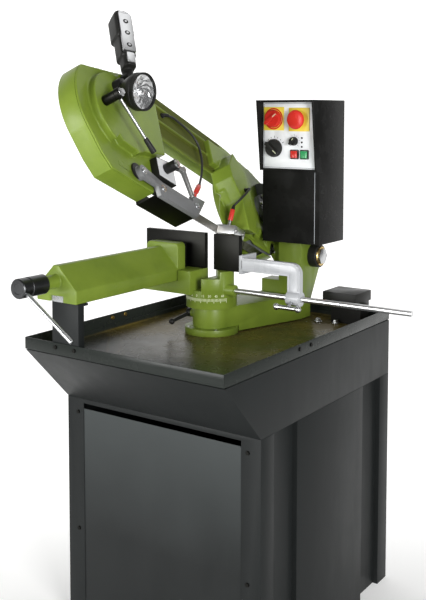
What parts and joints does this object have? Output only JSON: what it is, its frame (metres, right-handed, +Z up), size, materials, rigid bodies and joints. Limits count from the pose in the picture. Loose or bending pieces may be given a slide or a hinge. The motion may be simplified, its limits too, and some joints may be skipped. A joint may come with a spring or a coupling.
{
  "type": "band saw",
  "caption": "Manual pull-down metal-cutting band saw with a leaning bow, mitre swivel, vise, material stop and control box on a sheet-metal stand with a chip tray.",
  "frame": {"origin": "on the floor, under the middle of the cabinet's base", "axes": "+Z up, -Y towards the operator, +X to the operator's right"},
  "size_m": [0.804, 1.2141, 1.5561],
  "materials": {
    "green_paint": "hammered enamel",
    "black_paint": "satin powder coat",
    "tray_paint": "gloss enamel",
    "steel": "machined",
    "dark_steel": "blackened",
    "aluminium": "machined",
    "grey_iron": "painted",
    "black_plastic": "fine grain",
    "gloss_black": "gloss",
    "panel": "satin",
    "yellow": "gloss",
    "red": "gloss",
    "button_green": "gloss",
    "brass": "plain",
    "hose": "matte",
    "lens": "clear"
  },
  "bodies": {
    "stand": {"cabinet": "black_paint", "front_panel": "black_paint", "cabinet_screws": "steel", "tray_skirt": "black_paint", "chip_tray": "tray_paint", "rim_screws": "steel", "vise_post": "black_paint", "guide_bar": "steel", "pedestal": "green_paint", "saw_table": "green_paint", "fixed_jaw": "dark_steel", "stop_rod": "steel", "coolant_pump": "black_paint", "pump_fitting": "brass"},
    "swivel": {"swivel_arm": "green_paint", "pivot_shaft": "steel", "pivot_cap": "black_plastic", "control_box": "gloss_black", "panel_plate": "panel", "switch_plates": "yellow", "indicators": "black_plastic"},
    "mitre_lock": {"mitre_lever": "black_plastic"},
    "main_switch": {"main_switch": "red"},
    "emergency_stop": {"emergency_stop": "red"},
    "selector": {"selector_knob": "black_plastic"},
    "speed": {"speed_knob": "black_plastic"},
    "stop_button": {"stop_button": "red"},
    "start_button": {"start_button": "button_green"},
    "vise": {"vise_ram": "green_paint", "jaw_plate": "dark_steel"},
    "vise_clamp": {"clamp_hub": "black_plastic", "clamp_lever": "steel"},
    "stop": {"stop_bracket": "aluminium"},
    "stop_tightener": {"stop_screw": "steel"},
    "bow": {"bow_casting": "green_paint", "blade_cover": "green_paint", "cover_screws": "steel", "gearbox": "grey_iron", "motor": "grey_iron", "fan_cover": "black_plastic", "idler_axle": "steel", "blade": "steel", "handle_grip": "black_plastic", "work_lamp": "black_plastic", "lamp_lens": "lens", "guide_bracket": "black_plastic", "rear_guide": "steel", "rear_tap": "red", "front_hose": "hose", "rear_hose": "hose"},
    "idler": {"idler_wheel": "grey_iron"},
    "drive": {"drive_wheel": "grey_iron"},
    "trigger": {"trigger": "steel"},
    "tensioner": {"tension_lever": "steel", "lever_grip": "black_plastic"},
    "guide": {"guide_arm": "steel", "blade_guard": "dark_steel", "front_guide": "steel", "front_tap": "red"},
    "guide_lock": {"guide_clamp": "black_plastic"}
  },
  "joints": [
    {"name": "mitre_swing", "type": "hinge", "parent": "stand", "child": "swivel", "pos_m": [-0.06, -0.022, 0.76], "axis": [0, 0, 1], "range_deg": [0, 45]},
    {"name": "bow_lift", "type": "hinge", "parent": "swivel", "child": "bow", "pos_m": [-0.036, 0.3, 0.892], "axis": [1, 0, 0], "range_deg": [0, 20], "stiffness_Nm_per_rad": 80, "springref_deg": -126.05},
    {"name": "drive_spin", "type": "hinge", "parent": "bow", "child": "drive", "pos_m": [-0.12165, 0.26333, 0.99649], "axis": [0.8788, 0.1941, 0.4359], "continuous": true},
    {"name": "idler_spin", "type": "hinge", "parent": "bow", "child": "idler", "pos_m": [-0.12165, -0.35423, 1.27145], "axis": [0.8788, 0.1941, 0.4359], "continuous": true},
    {"name": "trigger_pull", "type": "slide", "parent": "bow", "child": "trigger", "axis": [-0.7528, 0.2822, -0.5948], "range_m": [0, 0.004], "stiffness_N_per_m": 1500, "springref_m": -0.004},
    {"name": "blade_tension", "type": "hinge", "parent": "bow", "child": "tensioner", "pos_m": [-0.05451, -0.40387, 1.33943], "axis": [0.8788, 0.1941, 0.4359], "range_deg": [-100, 0]},
    {"name": "guide_reach", "type": "slide", "parent": "bow", "child": "guide", "axis": [0, -0.9135, 0.4067], "range_m": [-0.015, 0.06], "deforming": ["front_hose"]},
    {"name": "guide_clamp_turn", "type": "hinge", "parent": "bow", "child": "guide_lock", "pos_m": [-0.02827, -0.23418, 1.16737], "axis": [0.8788, 0.1941, 0.4359], "range_deg": [0, 60]},
    {"name": "vise_travel", "type": "slide", "parent": "stand", "child": "vise", "axis": [0, -1, 0], "range_m": [0, 0.118]},
    {"name": "vise_clamp_turn", "type": "hinge", "parent": "vise", "child": "vise_clamp", "pos_m": [-0.181, -0.56, 0.906], "axis": [0, -1, 0], "range_deg": [-100, 20]},
    {"name": "stop_travel", "type": "slide", "parent": "stand", "child": "stop", "axis": [1, 0, 0], "range_m": [0, 0.28]},
    {"name": "stop_clamp_turn", "type": "hinge", "parent": "stop", "child": "stop_tightener", "pos_m": [0.204, -0.06741, 0.8258], "axis": [0, -0.9135, -0.4067], "range_deg": [-90, 90]},
    {"name": "mitre_lock_turn", "type": "hinge", "parent": "swivel", "child": "mitre_lock", "pos_m": [-0.118, -0.036, 0.764], "axis": [1, 0, 0], "range_deg": [-30, 8]},
    {"name": "main_switch_turn", "type": "hinge", "parent": "swivel", "child": "main_switch", "pos_m": [0.001, 0.1925, 1.28], "axis": [0, 1, 0], "range_deg": [0, 90]},
    {"name": "emergency_stop_push", "type": "slide", "parent": "swivel", "child": "emergency_stop", "axis": [0, 1, 0], "range_m": [0, 0.003]},
    {"name": "selector_turn", "type": "hinge", "parent": "swivel", "child": "selector", "pos_m": [0.002, 0.1925, 1.199], "axis": [0, 1, 0], "range_deg": [-60, 60]},
    {"name": "speed_turn", "type": "hinge", "parent": "swivel", "child": "speed", "pos_m": [0.065, 0.1925, 1.219], "axis": [0, 1, 0], "range_deg": [-135, 135]},
    {"name": "stop_push", "type": "slide", "parent": "swivel", "child": "stop_button", "axis": [0, 1, 0], "range_m": [0, 0.003], "stiffness_N_per_m": 800, "springref_m": -0.003},
    {"name": "start_push", "type": "slide", "parent": "swivel", "child": "start_button", "axis": [0, 1, 0], "range_m": [0, 0.003], "stiffness_N_per_m": 800, "springref_m": -0.003}
  ],
  "couplings": [
    {"joint": "idler_spin", "follows": "drive_spin", "ratio": 1}
  ]
}
